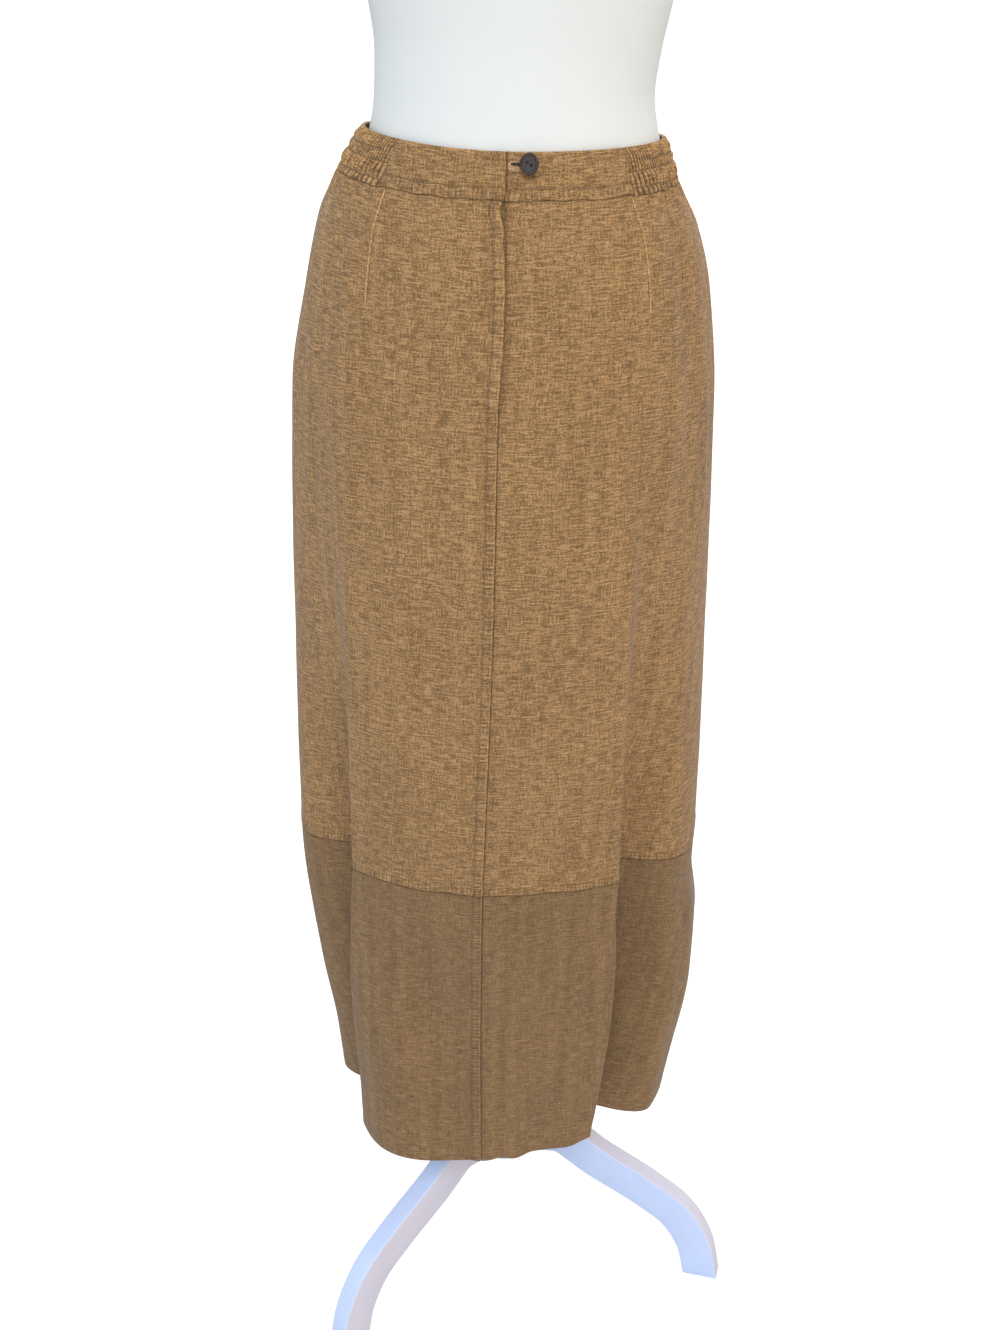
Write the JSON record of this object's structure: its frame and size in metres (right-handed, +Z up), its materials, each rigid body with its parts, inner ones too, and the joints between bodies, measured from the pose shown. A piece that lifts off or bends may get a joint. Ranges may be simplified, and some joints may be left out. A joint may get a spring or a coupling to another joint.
{
  "type": "maxi skirt on a limbless dress form",
  "caption": "Long linen skirt with a lapped back zip, button tab, elastic sides and a lower band, worn by a limbless dress form on a wooden tripod.",
  "frame": {"origin": "on the floor, under the middle of the part's bounding box", "axes": "+Z up; -Y is the skirt's back, with the zip and the button; +X is the wearer's right"},
  "size_m": [0.4672, 0.442, 1.74],
  "materials": {
    "linen": "matt, slubbed, tan linen weave",
    "linen_band": "the same linen, a shade darker and smoother",
    "zip_cloth": "plain woven tape",
    "brass": "polished",
    "button": "glossy dark brown",
    "jersey": "smooth white jersey",
    "painted_wood": "white satin paint"
  },
  "bodies": {
    "root": {"back_left": "linen", "back_right": "linen", "front": "linen", "lower_band_back_left": "linen_band", "lower_band_back_right": "linen_band", "lower_band_front": "linen_band", "waistband_back_left": "linen", "waistband_back_right": "linen", "waistband_front": "linen", "elastic_left": "linen", "elastic_right": "linen", "zip_tape": "zip_cloth", "zip_slider": "brass", "button_tab": "linen", "button": "button", "form_torso": "jersey", "pole": "painted_wood", "tripod_hub": "painted_wood", "tripod_leg_left": "painted_wood", "tripod_leg_right": "painted_wood", "tripod_leg_back": "painted_wood"}
  },
  "joints": []
}
